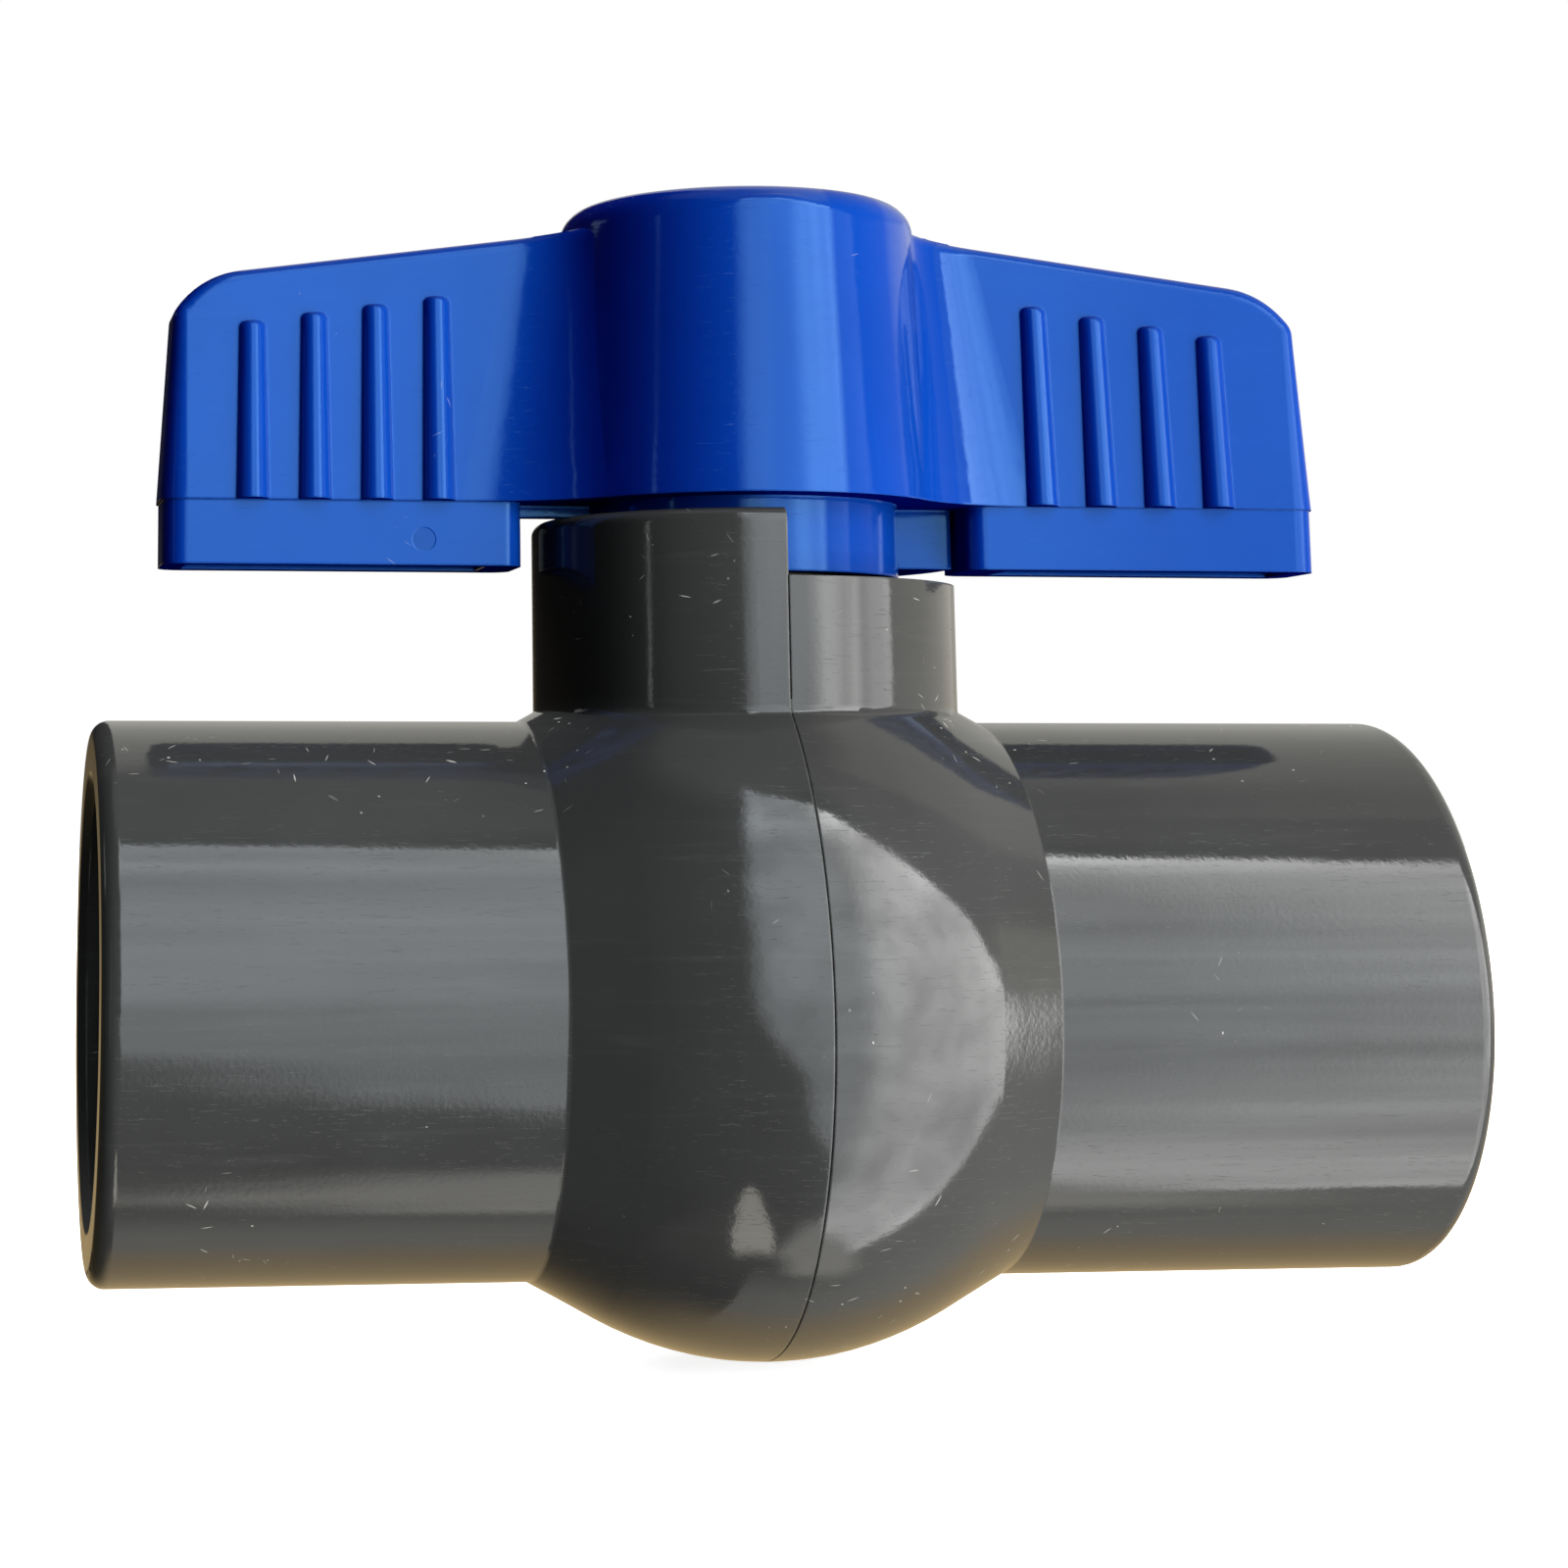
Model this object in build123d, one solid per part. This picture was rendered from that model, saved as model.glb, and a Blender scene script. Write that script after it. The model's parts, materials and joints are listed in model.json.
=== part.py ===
from build123d import *
import math
import os

# Compact two-way PVC ball valve, DN25, plain solvent sockets, quarter-turn wing handle.
# Millimetres. While modelling, the origin is the centre of the ball: X along the pipe,
# Z up the stem. place() then lifts every piece so that the lowest point of the body is Z = 0.
# The handle is drawn open, along the pipe. It closes clockwise, seen from above.

# ---- driving dimensions -------------------------------------------------------------
PIPE_D = 32.0  # outside diameter of the pipe that is glued in
PIPE_GAP = 0.1  # radial room for solvent cement
OVERALL_L = 100.0  # socket face to socket face
SOCKET_OD = 41.0
SOCKET_DEPTH = 24.0
BULGE_D = 52.8  # spherical middle of the body
PORT_D = 25.0  # full bore
BALL_D = 39.0
NECK_D = 32.32
STEM_D = 14.0

# ---- body ---------------------------------------------------------------------------
HALF_L = OVERALL_L / 2
SOCKET_R = SOCKET_OD / 2
BULGE_R = BULGE_D / 2
NECK_R = NECK_D / 2
PORT_R = PORT_D / 2
BORE_R = PIPE_D / 2 + PIPE_GAP
MOUTH_CHAMFER = 0.65
END_ROUND = 1.3  # outer edge of each socket
BULGE_CONE_X = 12.5  # from here outwards the bulge is a cone, tangent to its sphere
BULGE_BLEND = 0.5  # concave blend from bulge to socket
NECK_BLEND = 0.9  # concave blend around the foot of the neck
SEAM_X = -0.4  # plane where the two halves are welded
SEAM_GROOVE_W = 0.07  # half its width
SEAM_GROOVE_DEPTH = 0.12
LOW_COLLAR_Z = 30.7  # neck top on the right half
TALL_COLLAR_Z = 35.7  # neck top on the left half, the handle's stop
TALL_COLLAR_ROUND = 1.0
COLLAR_INNER_R = 12.4
CORE_TUBE_R = 9.6  # tube left around the stem by the coring ring
CORE_FLOOR_Z = 24.0
CHAMBER_R = 21.3
SEAT_POCKET_R = 16.5
SEAT_POCKET_X = 21.0
TONGUE_R = 23.1  # ring on the left half that locates the right half
TONGUE_T = 1.5
TONGUE_L = 2.0
TONGUE_GAP = 0.05
TONGUE_STEM_ROOM = 2.0  # the tongue stops this far from the stem's pocket

# ---- ball, seats and stem -----------------------------------------------------------
BALL_R = BALL_D / 2
BALL_GAP = 0.03
SLOT_W = 5.0
SLOT_L = 16.4
SLOT_FLOOR_Z = 15.1
TANG_GAP = 0.1
TANG_SHORTER = 2.0  # the tang is this much shorter than the slot
SEAT_INNER_R = 12.7
SEAT_GAP = 0.05
SEAT_BACK_X = 19.2
SEAT_FRONT_X = 11.2
SEAT_RING_SECTION = 1.74  # O-ring behind each seat
STEM_R = STEM_D / 2
STEM_GAP = 0.05
STEM_BORE_R = STEM_R + STEM_GAP
FLANGE_R = 8.6
FLANGE_Z0 = 19.6
FLANGE_Z1 = 21.4
WASHER_T = 1.0
WASHER_POCKET_R = 8.8
WASHER_POCKET_Z = 22.5
STEM_RING_Z = (24.6, 28.0)
STEM_RING_SECTION = 1.3
STEM_RING_R = 6.32  # radius of the section's centre
GROOVE_R = 5.6
GROOVE_W = 1.8
SQUARE_W = 9.6
SQUARE_Z0 = 31.6
SQUARE_CHAMFER = 1.0
STEM_TOP_Z = 46.0
PILOT_DEPTH = 13.0
PILOT_GAP = 0.01

# ---- handle -------------------------------------------------------------------------
HANDLE_TIP_X = 45.1
HANDLE_BOTTOM_Z = 32.06
STEP_Z = 36.9  # underside of the hub, and the parting line of the wings
STEP_LIP = 0.17  # the upper part overhangs the skirt by this much
DRAFT = 3.6  # degrees
WING_T = 8.3  # at the step
WING_TIP_ROUND = 2.0  # in plan, at the step
HUB_R = 15.05  # at the step
HUB_TOP_Z = 60.2
HUB_ROUND = 2.4
FLARE_BOTTOM_R = 13.5  # concave corner from hub to wing, at the step
FLARE_TOP_R = 6.0  # the same corner at the height of the hub's top
WING_TOP_IN_Z = 58.4  # height of the wing's sloping top at X = 10
WING_TOP_IN_X = 10.0
WING_TOP_OUT_Z = 53.7  # height at the tip, before the corner is rounded
WING_CORNER_R = 6.9
WING_RIDGE_R = 30.0  # where the two slopes meet, inside the hub
WING_EDGE_ROUND = 1.0
HUB_FOOT_R = 1.6  # concave blend from wing top to hub
HUB_FOOT_INSET = 0.45
SKIRT_LEFT_X = 17.7  # inner ends of the skirt, clear of the collar
SKIRT_RIGHT_X = 17.0
SKIRT_END_ROUND = 1.5
GRIP_X = (23.5, 28.2, 32.9, 37.6)
GRIP_SHIFT = -0.65  # the whole pattern of bars sits this much off centre
GRIP_TOP_Z = (52.6, 51.9, 51.2, 50.5)
GRIP_R_BOTTOM = 1.3
GRIP_R_TOP = 1.08
GRIP_END_ROUND = 0.55
GRIP_SINK = 0.35  # how far each bar's axis is set into the wing face
SLEEVE_R = 12.0
SLEEVE_INNER_R = 10.2
SLEEVE_BOTTOM_Z = 31.3
TAB_R = 16.6
TAB_BOTTOM_Z = 32.3
STOP_GAP = 0.02
BRIDGE_T = 1.6
BRIDGE_BOTTOM_Z = 36.0
BOSS_R = 8.2
BOSS_BOTTOM_Z = 33.0
SQUARE_GAP = 0.04
SOCKET_CHAMFER = 0.9
HUB_CEILING_Z = 49.5  # floor that the screw clamps against the stem
HUB_CAVITY_Z = 54.0
BOSS_RIB_T = 1.6
WING_WALL = 1.8
WING_CAVITY_X0 = 20.4
CROSS_RIB_X = (28.0, 35.6)
CROSS_RIB_T = 1.4
CROSS_RIB_SHORTER = 1.5  # the ribs end this far above the skirt's edge

# ---- screw, washer and cap ----------------------------------------------------------
SCREW_R = 1.95
SCREW_HOLE_R = 2.2
SCREW_L = 12.0
SCREW_HEAD_R = 3.8
SCREW_HEAD_H = 2.5
SCREW_HEAD_ROUND = 1.4
SCREW_TIP_CHAMFER = 0.9
SCREW_PLAIN_L = 2.2  # unthreaded length under the head
FIRST_THREAD_Z = 1.6  # above the tip
SCREW_CROSS_W = 1.0
SCREW_CROSS_L = 4.4
SCREW_CROSS_DEPTH = 1.4
THREAD_PITCH = 1.4
THREAD_CORE_R = 1.55
SCREW_WASHER_R = 5.0
SCREW_WASHER_T = 0.8
HEAD_WELL_R = 6.6
CAP_SEAT_R = 8.1
CAP_SEAT_DEPTH = 1.7
CAP_GAP = 0.05
CAP_RIM_T = 1.2
CAP_RIM_L = 4.0
CAP_EDGE_ROUND = 0.4
CAP_BELOW_TOP = 0.1
NOTCH_W = 3.0  # for lifting the cap out
NOTCH_IN = 0.8
NOTCH_FLOOR = 0.6  # thickness left under the notch

AIR = 0.05  # gap between pieces that only rest on each other
TOL = 0.01  # for picking edges and corners by position
OVER = 1.0  # how far a cutting solid sticks out of what it cuts
LAP = 0.5  # how far joined solids run into each other
FAR = 100.0  # reach of a solid that takes everything on one side


def cyl_z(radius, z0, z1):
    """Upright cylinder on the stem axis."""
    return Pos(0, 0, z0) * Cylinder(radius, z1 - z0, align=(Align.CENTER, Align.CENTER, Align.MIN))


def cyl_x(radius, x0, x1):
    """Cylinder on the pipe axis."""
    low = min(x0, x1)
    turned = Rot(0, 90, 0) * Cylinder(radius, abs(x1 - x0), align=(Align.CENTER, Align.CENTER, Align.MIN))
    return Pos(low, 0, 0) * turned


def block(x0, x1, y0, y1, z0, z1):
    """Box between two corners."""
    solid = Box(x1 - x0, y1 - y0, z1 - z0, align=(Align.MIN, Align.MIN, Align.MIN))
    return Pos(x0, y0, z0) * solid


def spin_x(*points):
    """Solid of revolution about the pipe axis from (x, r) points."""
    outline = Polyline(*[(x, 0, r) for x, r in points], close=True)
    return revolve(make_face(outline), Axis.X)


def ring_x(x_centre, radius, section_d):
    """O-ring on the pipe axis."""
    return Pos(x_centre, 0, 0) * (Rot(0, 90, 0) * Torus(radius, section_d / 2))


def in_four_corners(solid):
    """A solid together with its mirror images left to right and front to back."""
    pair = solid + mirror(solid, about=Plane.YZ)
    return pair + mirror(pair, about=Plane.XZ)


def right_side():
    """Everything to the right of the weld plane."""
    return block(SEAM_X, FAR, -FAR, FAR, -FAR, FAR)


# ---- body ---------------------------------------------------------------------------
def body_outside():
    """Outer shape of both halves together, with the neck at its full height."""
    run = cyl_x(SOCKET_R, -HALF_L, HALF_L)
    run = fillet(run.edges().filter_by(GeomType.CIRCLE), END_ROUND)
    shell = run + bulge()
    meets = [
        edge
        for edge in shell.edges().filter_by(GeomType.CIRCLE)
        if abs(edge.radius - SOCKET_R) < TOL and abs(edge.center().X) < BULGE_R
    ]
    shell = fillet(meets, BULGE_BLEND)
    return shell + neck_outside()


def bulge():
    """Spherical middle that runs out to the sockets as a cone on each side."""
    cone_r = math.sqrt(BULGE_R**2 - BULGE_CONE_X**2)
    end_r = SOCKET_R - LAP
    end_x = BULGE_CONE_X + (cone_r - end_r) * cone_r / BULGE_CONE_X
    solid = Sphere(BULGE_R) & cyl_x(BULGE_R, -BULGE_CONE_X, BULGE_CONE_X)
    cone = spin_x((0, 0), (0, end_r), (BULGE_CONE_X, cone_r), (end_x, end_r), (end_x, 0))
    return solid + cone + mirror(cone, about=Plane.YZ)


def neck_outside():
    """Neck at its full height, with a blended foot that flows into the bulge."""
    profile = Circle(BULGE_R) + Pos(0, TALL_COLLAR_Z / 2) * Rectangle(NECK_D, TALL_COLLAR_Z)
    profile = profile & (Pos(BULGE_R, BULGE_R) * Rectangle(2 * BULGE_R, 2 * BULGE_R))
    foot_z = math.sqrt(BULGE_R**2 - NECK_R**2)
    foot = [v for v in profile.vertices() if abs(v.X - NECK_R) < TOL and abs(v.Y - foot_z) < TOL]
    profile = fillet(foot, NECK_BLEND)
    rim = [v for v in profile.vertices() if v.X > TOL and v.Y > TALL_COLLAR_Z - TOL]
    profile = fillet(rim, TALL_COLLAR_ROUND)
    return revolve(Rot(90, 0, 0) * profile, Axis.Z)


def body_inside():
    """Everything that is hollow in the closed body."""
    space = cyl_x(PORT_R, -HALF_L, HALF_L)
    for side in (-1, 1):
        stop_x = HALF_L - SOCKET_DEPTH
        space += cyl_x(BORE_R, side * stop_x, side * HALF_L)
        space += spin_x(
            (side * HALF_L, 0),
            (side * HALF_L, BORE_R + MOUTH_CHAMFER),
            (side * (HALF_L - MOUTH_CHAMFER), BORE_R),
            (side * (HALF_L - MOUTH_CHAMFER), 0),
        )
    space += cyl_x(SEAT_POCKET_R, -SEAT_POCKET_X, SEAT_POCKET_X)
    space += Sphere(CHAMBER_R)
    space += cyl_z(WASHER_POCKET_R, 0, WASHER_POCKET_Z)
    space += cyl_z(STEM_BORE_R, 0, TALL_COLLAR_Z)
    core = cyl_z(COLLAR_INNER_R, CORE_FLOOR_Z, TALL_COLLAR_Z)
    return space + (core - cyl_z(CORE_TUBE_R, CORE_FLOOR_Z, LOW_COLLAR_Z))


def seam_groove():
    """Fine V-groove where the two halves meet, around the bulge and up the neck."""
    around = spin_x(
        (SEAM_X - SEAM_GROOVE_W, BULGE_R + TOL),
        (SEAM_X, BULGE_R - SEAM_GROOVE_DEPTH),
        (SEAM_X + SEAM_GROOVE_W, BULGE_R + TOL),
    )
    groove = around - cyl_z(NECK_R - AIR, 0, BULGE_R + OVER)
    for side in (-1, 1):
        mouth_y = side * (NECK_R + TOL)
        notch = Polyline(
            (SEAM_X - SEAM_GROOVE_W, mouth_y),
            (SEAM_X, side * (NECK_R - SEAM_GROOVE_DEPTH)),
            (SEAM_X + SEAM_GROOVE_W, mouth_y),
            close=True,
        )
        bottom_z = math.sqrt(BULGE_R**2 - NECK_R**2) + NECK_BLEND
        groove += Pos(0, 0, bottom_z) * extrude(make_face(notch), LOW_COLLAR_Z - bottom_z)
    return groove


def tongue(gap):
    """Locating ring at the weld, left out where the stem passes. A gap makes it the groove."""
    ring = cyl_x(TONGUE_R + TONGUE_T + gap, SEAM_X, SEAM_X + TONGUE_L + gap)
    ring -= cyl_x(TONGUE_R - gap, SEAM_X, SEAM_X + TONGUE_L + gap)
    half_gap = WASHER_POCKET_R + TONGUE_STEM_ROOM - gap
    return ring - block(SEAM_X - OVER, SEAM_X + TONGUE_L + OVER, -half_gap, half_gap, 0, BULGE_R)


def body_halves():
    """Left half with the tall collar, right half with the low one."""
    whole = body_outside() - body_inside() - seam_groove()
    right_space = right_side()
    left = whole - right_space + tongue(0)
    right = (whole & right_space) - tongue(TONGUE_GAP)
    right -= cyl_z(NECK_R + OVER, LOW_COLLAR_Z, TALL_COLLAR_Z + OVER)
    return left, right


# ---- flow parts ---------------------------------------------------------------------
def ball():
    """Floating ball with a full bore and a slot across it for the stem."""
    solid = Sphere(BALL_R) - cyl_x(PORT_R, -BALL_R, BALL_R)
    return solid - block(-SLOT_W / 2, SLOT_W / 2, -SLOT_L / 2, SLOT_L / 2, SLOT_FLOOR_Z, BALL_R)


def seat_ring(side):
    """PTFE seat: a ring with a hollow spherical face towards the ball."""
    outer_r = SEAT_POCKET_R - SEAT_GAP
    length = SEAT_BACK_X - SEAT_FRONT_X
    profile = Pos((SEAT_FRONT_X + SEAT_BACK_X) / 2, (SEAT_INNER_R + outer_r) / 2) * Rectangle(
        length, outer_r - SEAT_INNER_R
    )
    profile -= Circle(BALL_R + BALL_GAP)
    ring = revolve(profile, Axis.X)
    return ring if side > 0 else mirror(ring, about=Plane.YZ)


def seat_o_ring(side):
    """O-ring that presses the seat against the ball."""
    radius = (SEAT_INNER_R + SEAT_POCKET_R) / 2
    return ring_x(side * (SEAT_BACK_X + SEAT_POCKET_X) / 2, radius, SEAT_RING_SECTION)


def stem():
    """Tang, flange, shaft with two O-ring grooves, and a square for the handle."""
    tang_w = SLOT_W - 2 * TANG_GAP
    tang_l = SLOT_L - TANG_SHORTER
    tang = block(-tang_w / 2, tang_w / 2, -tang_l / 2, tang_l / 2, SLOT_FLOOR_Z + TANG_GAP, FLANGE_Z0)
    solid = cyl_z(FLANGE_R, FLANGE_Z0, FLANGE_Z1) + (tang & cyl_z(FLANGE_R, 0, FLANGE_Z1))
    solid += cyl_z(STEM_R, FLANGE_Z1, SQUARE_Z0)
    square = extrude(Rectangle(SQUARE_W, SQUARE_W), STEM_TOP_Z - SQUARE_Z0)
    square = Pos(0, 0, SQUARE_Z0) * chamfer(square.edges().filter_by(Axis.Z), SQUARE_CHAMFER)
    solid += square & cyl_z(STEM_R, SQUARE_Z0, STEM_TOP_Z)
    for z in STEM_RING_Z:
        groove = cyl_z(STEM_R + OVER, z - GROOVE_W / 2, z + GROOVE_W / 2)
        solid -= groove - cyl_z(GROOVE_R, z - GROOVE_W, z + GROOVE_W)
    return solid - cyl_z(SCREW_R + PILOT_GAP, STEM_TOP_Z - PILOT_DEPTH, STEM_TOP_Z)


def stem_o_ring(z):
    """O-ring in one of the stem's grooves."""
    return Pos(0, 0, z) * Torus(STEM_RING_R, STEM_RING_SECTION / 2)


def thrust_washer():
    """PTFE washer between the stem's flange and the body."""
    z0 = FLANGE_Z1 + AIR
    return cyl_z(FLANGE_R, z0, z0 + WASHER_T) - cyl_z(STEM_BORE_R, z0 - OVER, z0 + WASHER_T + OVER)


# ---- handle -------------------------------------------------------------------------
def wing_top_z(x):
    """Height of the sloping wing top at a distance from the stem axis."""
    slope = (WING_TOP_OUT_Z - WING_TOP_IN_Z) / (HANDLE_TIP_X - WING_TOP_IN_X)
    return WING_TOP_IN_Z + slope * (x - WING_TOP_IN_X)


def hub_radius(z):
    """Radius of the drafted hub at a height."""
    return HUB_R - (z - STEP_Z) * math.tan(math.radians(DRAFT))


def wing_side(top_drop, end_inset):
    """Both wings from the step up, in side view, swept across: sloping tops, round outer corners."""
    tip_x = HANDLE_TIP_X + TOL - end_inset
    tip_z = wing_top_z(HANDLE_TIP_X) - top_drop
    side = Polyline(
        (-tip_x, STEP_Z),
        (tip_x, STEP_Z),
        (tip_x, tip_z),
        (0, wing_top_z(0) - top_drop),
        (-tip_x, tip_z),
        close=True,
    )
    face = make_face(side)
    corners = [v for v in face.vertices() if v.Y > STEP_Z + TOL and abs(v.X) > TOL]
    face = fillet(corners, WING_CORNER_R - end_inset / 2)
    ridge = [v for v in face.vertices() if v.Y > STEP_Z + TOL and abs(v.X) < TOL]
    face = fillet(ridge, WING_RIDGE_R)
    return Pos(0, 2 * HUB_R, 0) * extrude(Rot(90, 0, 0) * face, 4 * HUB_R)


def flare_plan(z, flare_r, inset):
    """Section of one concave corner: an arc from hub to wing face, closed inside both."""
    rise = (z - STEP_Z) * math.tan(math.radians(DRAFT))
    hub_r = HUB_R - rise
    face_y = WING_T / 2 - rise
    centre_y = face_y + flare_r
    centre_x = math.sqrt((hub_r + flare_r) ** 2 - centre_y**2)
    centre = Vector(centre_x, centre_y)
    arc_r = flare_r + inset
    on_wing = centre - Vector(0, arc_r)
    on_hub = centre - centre.normalized() * arc_r
    middle = centre + ((on_wing + on_hub) * 0.5 - centre).normalized() * arc_r
    arc = ThreePointArc(on_hub, middle, on_wing)
    under_wing = Vector(on_wing.X, face_y / 2)
    under_hub = Vector(on_hub.X / 2, face_y / 2)
    return Pos(0, 0, z) * make_face([arc, Polyline(on_wing, under_wing, under_hub, on_hub)])


def drafted_plan(inset):
    """Plan of hub and wings drawn upwards from the step, narrowing with the draft."""
    bar = Rectangle(2 * (HANDLE_TIP_X - inset), WING_T - 2 * inset)
    bar = fillet(bar.vertices(), WING_TIP_ROUND)
    wings = Pos(0, 0, STEP_Z) * extrude(bar, HUB_TOP_Z - STEP_Z, taper=DRAFT)
    low = flare_plan(STEP_Z, FLARE_BOTTOM_R, inset)
    high = flare_plan(HUB_TOP_Z, FLARE_TOP_R, inset)
    return wings + hub_cone(inset) + in_four_corners(loft([low, high], ruled=True))


def wing_upper():
    """Drafted plan cut to the side view, with its top edges rounded."""
    solid = drafted_plan(0) & wing_side(0, 0)
    top_edges = []
    for edge in solid.edges():
        start, end = edge @ 0, edge @ 1
        is_high = min(start.Z, end.Z, (edge @ 0.5).Z) > STEP_Z + WING_CORNER_R
        runs_across = abs(start.X - end.X) < TOL and abs(start.Y - end.Y) > LAP
        if is_high and not runs_across:
            top_edges.append(edge)
    return fillet(top_edges, WING_EDGE_ROUND)


def hub_foot():
    """Concave blend between the wing tops and the hub."""
    foot_x = hub_radius(wing_top_z(HUB_R))
    reach_x = foot_x + 2 * HUB_FOOT_R
    high_z = wing_top_z(foot_x) + 2 * HUB_FOOT_R
    outline = Polyline(
        (SLEEVE_R, wing_top_z(reach_x) - HUB_FOOT_R),
        (reach_x, wing_top_z(reach_x) - HUB_FOOT_R),
        (reach_x, wing_top_z(reach_x)),
        (foot_x, wing_top_z(foot_x)),
        (hub_radius(high_z), high_z),
        (SLEEVE_R, high_z),
        close=True,
    )
    profile = make_face(outline)
    inner = [v for v in profile.vertices() if abs(v.X - foot_x) < TOL]
    profile = fillet(inner, HUB_FOOT_R)
    ring = revolve(Rot(90, 0, 0) * profile, Axis.Z)
    return ring & drafted_plan(HUB_FOOT_INSET) & cyl_z(HUB_R + HUB_FOOT_R, STEP_Z, HUB_TOP_Z - HUB_ROUND)


def skirt(inner_x):
    """Lower edge of the right wing, from an inner end that is clear of the collar."""
    length = HANDLE_TIP_X - STEP_LIP - inner_x
    plan = Rectangle(length, WING_T - 2 * STEP_LIP)
    inner_corners = plan.vertices().sort_by(Axis.X)[:2]
    plan = fillet(inner_corners, SKIRT_END_ROUND)
    outer_corners = plan.vertices().sort_by(Axis.X)[-2:]
    plan = fillet(outer_corners, WING_TIP_ROUND - STEP_LIP)
    return Pos(inner_x + length / 2, 0, HANDLE_BOTTOM_Z) * extrude(plan, STEP_Z - HANDLE_BOTTOM_Z)


def grip_bar(x, top_z):
    """Half-round upright bar on the back face of the right wing, leaning with the face."""
    height = top_z - STEP_Z
    cone = Cone(GRIP_R_BOTTOM, GRIP_R_TOP, height, align=(Align.CENTER, Align.CENTER, Align.MIN))
    cone = fillet(cone.edges().group_by(Axis.Z)[-1], GRIP_END_ROUND)
    leaning = Pos(x, WING_T / 2 - GRIP_SINK, STEP_Z) * (Rot(DRAFT, 0, 0) * cone)
    return leaning & block(0, FAR, 0, FAR, STEP_Z, HUB_TOP_Z)


def hub_cone(inset):
    """Drafted cone of the hub, smaller all round by the inset."""
    top_r = hub_radius(HUB_TOP_Z) - inset
    cone = Cone(HUB_R - inset, top_r, HUB_TOP_Z - STEP_Z, align=(Align.CENTER, Align.CENTER, Align.MIN))
    return Pos(0, 0, STEP_Z) * cone


def hub():
    """Drafted round hub with a rounded top edge."""
    cone = hub_cone(0)
    return fillet(cone.edges().group_by(Axis.Z)[-1], HUB_ROUND)


def stop_tab():
    """Quarter ring under the hub that turns between the two ends of the tall collar."""
    top_z = STEP_Z + LAP
    ring = cyl_z(TAB_R, TAB_BOTTOM_Z, top_z) - cyl_z(SLEEVE_R - LAP, TAB_BOTTOM_Z - OVER, top_z + OVER)
    face = SEAM_X + STOP_GAP
    return ring & block(face, FAR, face, FAR, TAB_BOTTOM_Z, top_z)


def bridge():
    """Thin web from the sleeve to the left wing, over the collar."""
    half_t = BRIDGE_T / 2
    web = block(-SKIRT_LEFT_X - OVER, 0, -half_t, half_t, BRIDGE_BOTTOM_Z, STEP_Z + LAP)
    return web - cyl_z(SLEEVE_R - LAP, BRIDGE_BOTTOM_Z - OVER, STEP_Z)


def wing_cavity():
    """Hollow of both wings, open at the bottom, crossed by ribs."""
    plan = Rectangle(2 * (HANDLE_TIP_X - WING_WALL - STEP_LIP), WING_T - 2 * WING_WALL)
    tall = Pos(0, 0, HANDLE_BOTTOM_Z) * extrude(plan, HUB_TOP_Z - HANDLE_BOTTOM_Z, taper=DRAFT / 2)
    below_step = block(-FAR, FAR, -WING_T, WING_T, HANDLE_BOTTOM_Z - OVER, STEP_Z + TOL)
    space = (tall & wing_side(2 * WING_WALL, 2 * WING_WALL)) + (tall & below_step)
    space -= block(-WING_CAVITY_X0, WING_CAVITY_X0, -WING_T, WING_T, HANDLE_BOTTOM_Z - OVER, HUB_TOP_Z)
    rib_bottom_z = HANDLE_BOTTOM_Z + CROSS_RIB_SHORTER
    for x in CROSS_RIB_X:
        rib = block(x - CROSS_RIB_T / 2, x + CROSS_RIB_T / 2, -WING_T, WING_T, rib_bottom_z, HUB_TOP_Z)
        space -= rib + mirror(rib, about=Plane.YZ)
    return space


def hub_cavity():
    """Ring-shaped hollow between the sleeve and the stem's boss, crossed by four ribs."""
    space = cyl_z(SLEEVE_INNER_R, SLEEVE_BOTTOM_Z - OVER, HUB_CAVITY_Z)
    space -= cyl_z(BOSS_R, BOSS_BOTTOM_Z, HUB_CAVITY_Z + OVER)
    half_t = BOSS_RIB_T / 2
    rib = block(-SLEEVE_INNER_R, SLEEVE_INNER_R, -half_t, half_t, STEP_Z, HUB_CAVITY_Z + OVER)
    for turn in (45, 135):
        space -= Rot(0, 0, turn) * rib
    return space


def handle():
    """Wing handle: hub, two hollow wings with grip bars, sleeve, stop tab and stem socket."""
    solid = wing_upper() + hub() + hub_foot()
    solid += skirt(SKIRT_RIGHT_X) + mirror(skirt(SKIRT_LEFT_X), about=Plane.YZ)
    for x, top_z in zip(GRIP_X, GRIP_TOP_Z):
        solid += Pos(GRIP_SHIFT, 0, 0) * in_four_corners(grip_bar(x, top_z))
    solid += cyl_z(SLEEVE_R, SLEEVE_BOTTOM_Z, STEP_Z + LAP)
    solid += stop_tab()
    solid += bridge()
    solid -= wing_cavity()
    solid -= hub_cavity()
    socket_w = SQUARE_W + 2 * SQUARE_GAP
    socket = extrude(Rectangle(socket_w, socket_w), STEM_TOP_Z + AIR - SLEEVE_BOTTOM_Z)
    solid -= Pos(0, 0, SLEEVE_BOTTOM_Z) * chamfer(socket.edges().filter_by(Axis.Z), SOCKET_CHAMFER)
    solid -= cyl_z(SCREW_HOLE_R, STEM_TOP_Z - OVER, HUB_TOP_Z)
    solid -= cyl_z(HEAD_WELL_R, HUB_CEILING_Z, HUB_TOP_Z + OVER)
    solid -= cyl_z(CAP_SEAT_R, HUB_TOP_Z - CAP_SEAT_DEPTH, HUB_TOP_Z + OVER)
    return solid


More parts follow.
